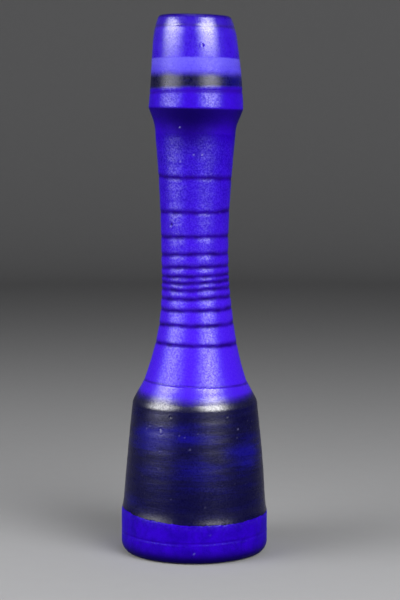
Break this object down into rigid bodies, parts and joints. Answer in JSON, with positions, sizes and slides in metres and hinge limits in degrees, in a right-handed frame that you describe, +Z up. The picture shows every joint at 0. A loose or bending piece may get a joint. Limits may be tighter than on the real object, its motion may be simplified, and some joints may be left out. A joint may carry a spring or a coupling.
{
  "type": "stoneware vase",
  "caption": "Tall thrown stoneware vase with a tapered drum, a long waisted neck with incised rings and a tapered collar, glazed cobalt blue with dark bands.",
  "frame": {"origin": "centre of the foot ring, on the surface that the vase stands on", "axes": "+Z up along the vase's axis; X and Y are alike, because every piece is turned about Z"},
  "size_m": [0.11, 0.11, 0.4],
  "materials": {
    "stoneware": "bare fired clay",
    "slip": "bare fired slip",
    "cobalt_glaze": "satin glaze with fine dimples",
    "dark_glaze": "brushed satin glaze",
    "pale_glaze": "satin glaze",
    "liner_glaze": "smooth glaze lining"
  },
  "bodies": {
    "root": {"drum": "stoneware", "shoulder_slip": "slip", "neck": "stoneware", "collar_slip": "slip", "collar": "stoneware", "foot_glaze": "cobalt_glaze", "drum_glaze": "dark_glaze", "shoulder_glaze": "cobalt_glaze", "neck_glaze": "cobalt_glaze", "skirt_glaze": "cobalt_glaze", "collar_dark_glaze": "dark_glaze", "collar_pale_glaze": "pale_glaze", "rim_glaze": "cobalt_glaze", "liner_glaze": "liner_glaze"}
  },
  "joints": []
}
